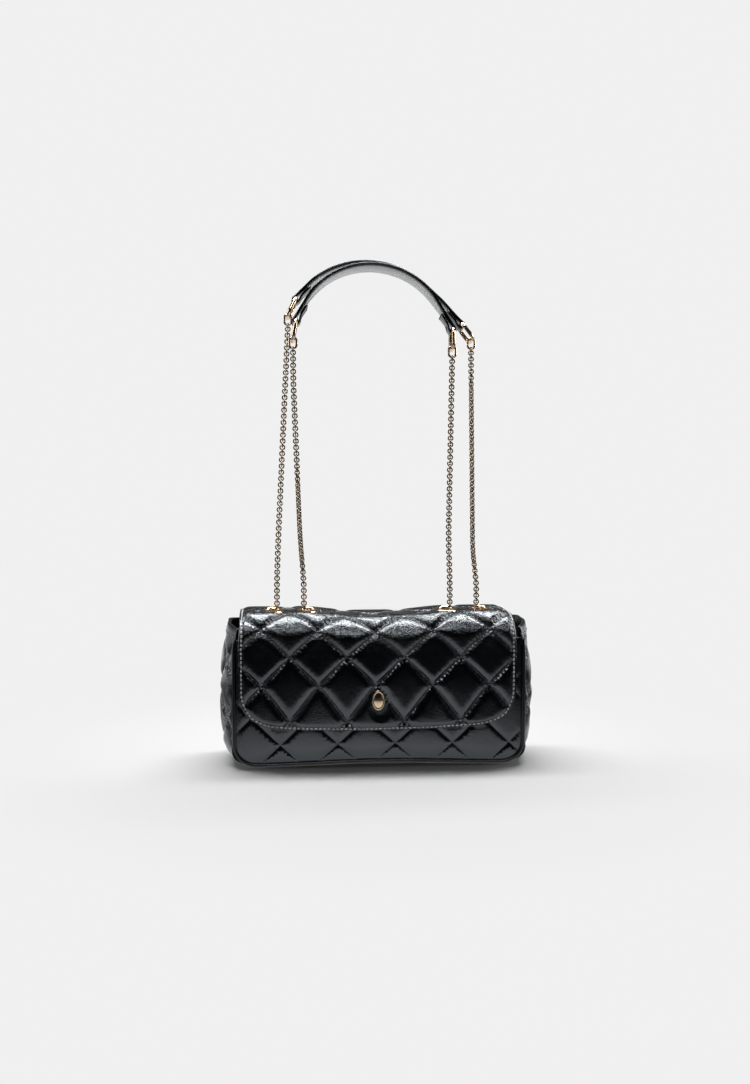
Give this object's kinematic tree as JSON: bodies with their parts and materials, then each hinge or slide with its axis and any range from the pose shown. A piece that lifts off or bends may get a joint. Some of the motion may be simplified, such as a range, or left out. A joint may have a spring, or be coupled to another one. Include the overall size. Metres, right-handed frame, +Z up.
{
  "type": "chain shoulder bag",
  "caption": "Small quilted black leather flap bag with a magnetic snap, carried on a doubled gold ring chain that runs through eyelets to two leather shoulder pads.",
  "frame": {"origin": "on the floor under the middle of the bag's box", "axes": "+Z up, the flap's face towards -Y, +X to the right seen from the front"},
  "size_m": [0.255, 0.0822, 0.4081],
  "materials": {
    "black_leather": "glossy crinkled",
    "lining_cloth": "matte woven",
    "wadding": "soft padding",
    "board": "pressed fibre board",
    "pad_lining": "smooth satin",
    "gold_metal": "polished pale gold plate",
    "snap_metal": "plain plated"
  },
  "bodies": {
    "bag_body": {"front_panel": "black_leather", "back_panel": "black_leather", "left_gusset": "black_leather", "right_gusset": "black_leather", "base_panel": "black_leather", "front_seam": "black_leather", "back_seam": "black_leather", "front_wadding": "wadding", "back_wadding": "wadding", "base_board": "board", "lining": "lining_cloth", "slip_pocket": "lining_cloth", "pocket_binding": "black_leather", "mouth_binding": "black_leather", "snap_socket": "snap_metal", "snap_socket_plate": "snap_metal"},
    "flap_top": {"flap_top": "black_leather", "flap_top_lining": "lining_cloth", "eyelet_strip": "board", "eyelets": "gold_metal", "eyelet_washers": "snap_metal", "left_chain_run": "gold_metal", "right_chain_run": "gold_metal"},
    "flap_front": {"flap_front": "black_leather", "flap_front_lining": "lining_cloth", "snap_stud": "snap_metal", "snap_stud_plate": "snap_metal", "flap_stud": "gold_metal"},
    "outer_bend": {"outer_bend_links_low": "gold_metal", "outer_bend_links_high": "gold_metal"},
    "outer_strap": {"outer_left_chain": "gold_metal", "outer_right_chain": "gold_metal", "outer_oval_links": "gold_metal"},
    "outer_pad": {"outer_pad": "black_leather", "outer_pad_lining": "pad_lining", "outer_pad_rings": "gold_metal"},
    "inner_bend": {"inner_bend_links_low": "gold_metal", "inner_bend_links_high": "gold_metal"},
    "inner_strap": {"inner_left_chain": "gold_metal", "inner_right_chain": "gold_metal", "inner_oval_links": "gold_metal"},
    "inner_pad": {"inner_pad": "black_leather", "inner_pad_lining": "pad_lining", "inner_pad_rings": "gold_metal"}
  },
  "joints": [
    {"name": "flap_lift", "type": "hinge", "parent": "bag_body", "child": "flap_top", "pos_m": [0, 0.0407, 0.108], "axis": [-1, 0, 0], "range_deg": [0, 90]},
    {"name": "flap_fold", "type": "hinge", "parent": "flap_top", "child": "flap_front", "pos_m": [0, -0.01875, 0.1242], "axis": [-1, 0, 0], "range_deg": [0, 130]},
    {"name": "outer_swing", "type": "hinge", "parent": "flap_top", "child": "outer_bend", "pos_m": [0, -0.0069, 0.127], "axis": [-1, 0, 0], "range_deg": [0, 45]},
    {"name": "outer_swing_2", "type": "hinge", "parent": "outer_bend", "child": "outer_strap", "pos_m": [0, -0.0069, 0.13732], "axis": [-1, 0, 0], "range_deg": [0, 45]},
    {"name": "outer_pad_tilt", "type": "hinge", "parent": "outer_strap", "child": "outer_pad", "pos_m": [-0.0713, 0.011, 0.3635], "axis": [-0.9925, 0, 0.1224], "range_deg": [0, 45]},
    {"name": "inner_swing", "type": "hinge", "parent": "flap_top", "child": "inner_bend", "pos_m": [0, -0.0069, 0.127], "axis": [-1, 0, 0], "range_deg": [-45, 0]},
    {"name": "inner_swing_2", "type": "hinge", "parent": "inner_bend", "child": "inner_strap", "pos_m": [0, -0.0069, 0.13732], "axis": [-1, 0, 0], "range_deg": [-45, 0]},
    {"name": "inner_pad_tilt", "type": "hinge", "parent": "inner_strap", "child": "inner_pad", "pos_m": [-0.0677, -0.011, 0.3433], "axis": [-0.9987, 0, 0.0507], "range_deg": [-45, 0]}
  ],
  "couplings": [
    {"joint": "outer_swing_2", "follows": "outer_swing", "ratio": 1},
    {"joint": "inner_swing_2", "follows": "inner_swing", "ratio": 1}
  ]
}
